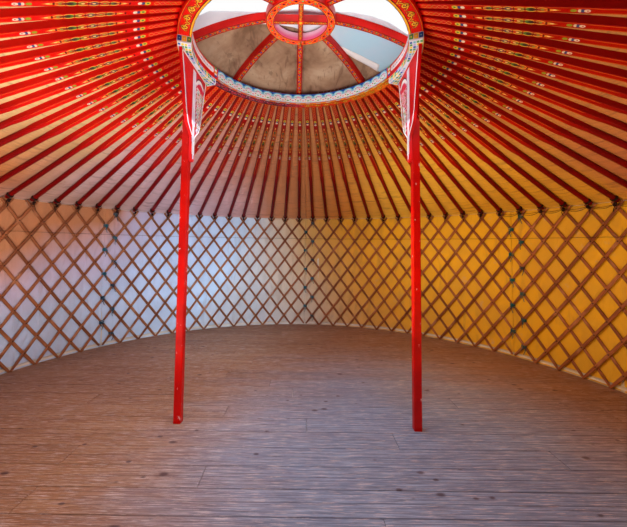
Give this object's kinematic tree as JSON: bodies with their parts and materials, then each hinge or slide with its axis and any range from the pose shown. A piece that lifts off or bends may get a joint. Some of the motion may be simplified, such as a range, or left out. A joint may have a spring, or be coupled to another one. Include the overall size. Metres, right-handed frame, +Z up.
{
  "type": "yurt",
  "caption": "Round lattice-walled tent with painted roof poles, a wooden crown ring on two posts, canvas covers and a board floor.",
  "frame": {"origin": "centre of the floor at ground level", "axes": "+Z up, +Y from the door to the back wall, +X to the right as seen from the door"},
  "size_m": [5.4988, 5.4872, 2.8799],
  "materials": {
    "floor_boards": "weathered brown-grey boards",
    "floor_timber": "bare sawn softwood",
    "lattice_wood": "bare brown laths with rounded edges",
    "door_paint": "orange-red oil paint",
    "crown_paint": "red gloss paint with gold scrolls",
    "crown_canvas": "thick off-white canvas",
    "arm_paint": "white paint with coloured squares",
    "wing_paint": "white-edged paint with a flower pattern",
    "post_paint": "red gloss paint",
    "pole_paint": "red gloss paint with painted ornament",
    "wall_canvas": "white canvas over felt",
    "roof_canvas": "white canvas over felt, beige lining",
    "webbing": "woven girth band",
    "rope": "twisted hair rope"
  },
  "bodies": {
    "root": {"floor_deck": "floor_boards", "floor_joists": "floor_timber", "floor_rim": "floor_timber", "lattice_front_right": "lattice_wood", "lattice_right": "lattice_wood", "lattice_back_right": "lattice_wood", "lattice_back_left": "lattice_wood", "lattice_left": "lattice_wood", "lattice_front_left": "lattice_wood", "door_frame": "door_paint", "door_leaf": "door_paint", "crown_ring": "crown_paint", "crown_spokes": "crown_paint", "crown_hub": "crown_paint", "post_left": "post_paint", "post_right": "post_paint", "post_arm_left": "arm_paint", "post_arm_right": "arm_paint", "post_wings_left": "wing_paint", "post_wings_right": "wing_paint", "poles_front_right": "pole_paint", "poles_right": "pole_paint", "poles_back_right": "pole_paint", "poles_back_left": "pole_paint", "poles_left": "pole_paint", "poles_front_left": "pole_paint", "poles_over_door": "pole_paint", "wall_cover_front_right": "wall_canvas", "wall_cover_right": "wall_canvas", "wall_cover_back_right": "wall_canvas", "wall_cover_back_left": "wall_canvas", "wall_cover_left": "wall_canvas", "wall_cover_front_left": "wall_canvas", "roof_cover_front_right": "roof_canvas", "roof_cover_back_right": "roof_canvas", "roof_cover_back_left": "roof_canvas", "roof_cover_front_left": "roof_canvas", "crown_cover": "crown_canvas", "girth_band_upper": "webbing", "girth_band_lower": "webbing", "roof_ropes": "rope"}
  },
  "joints": []
}
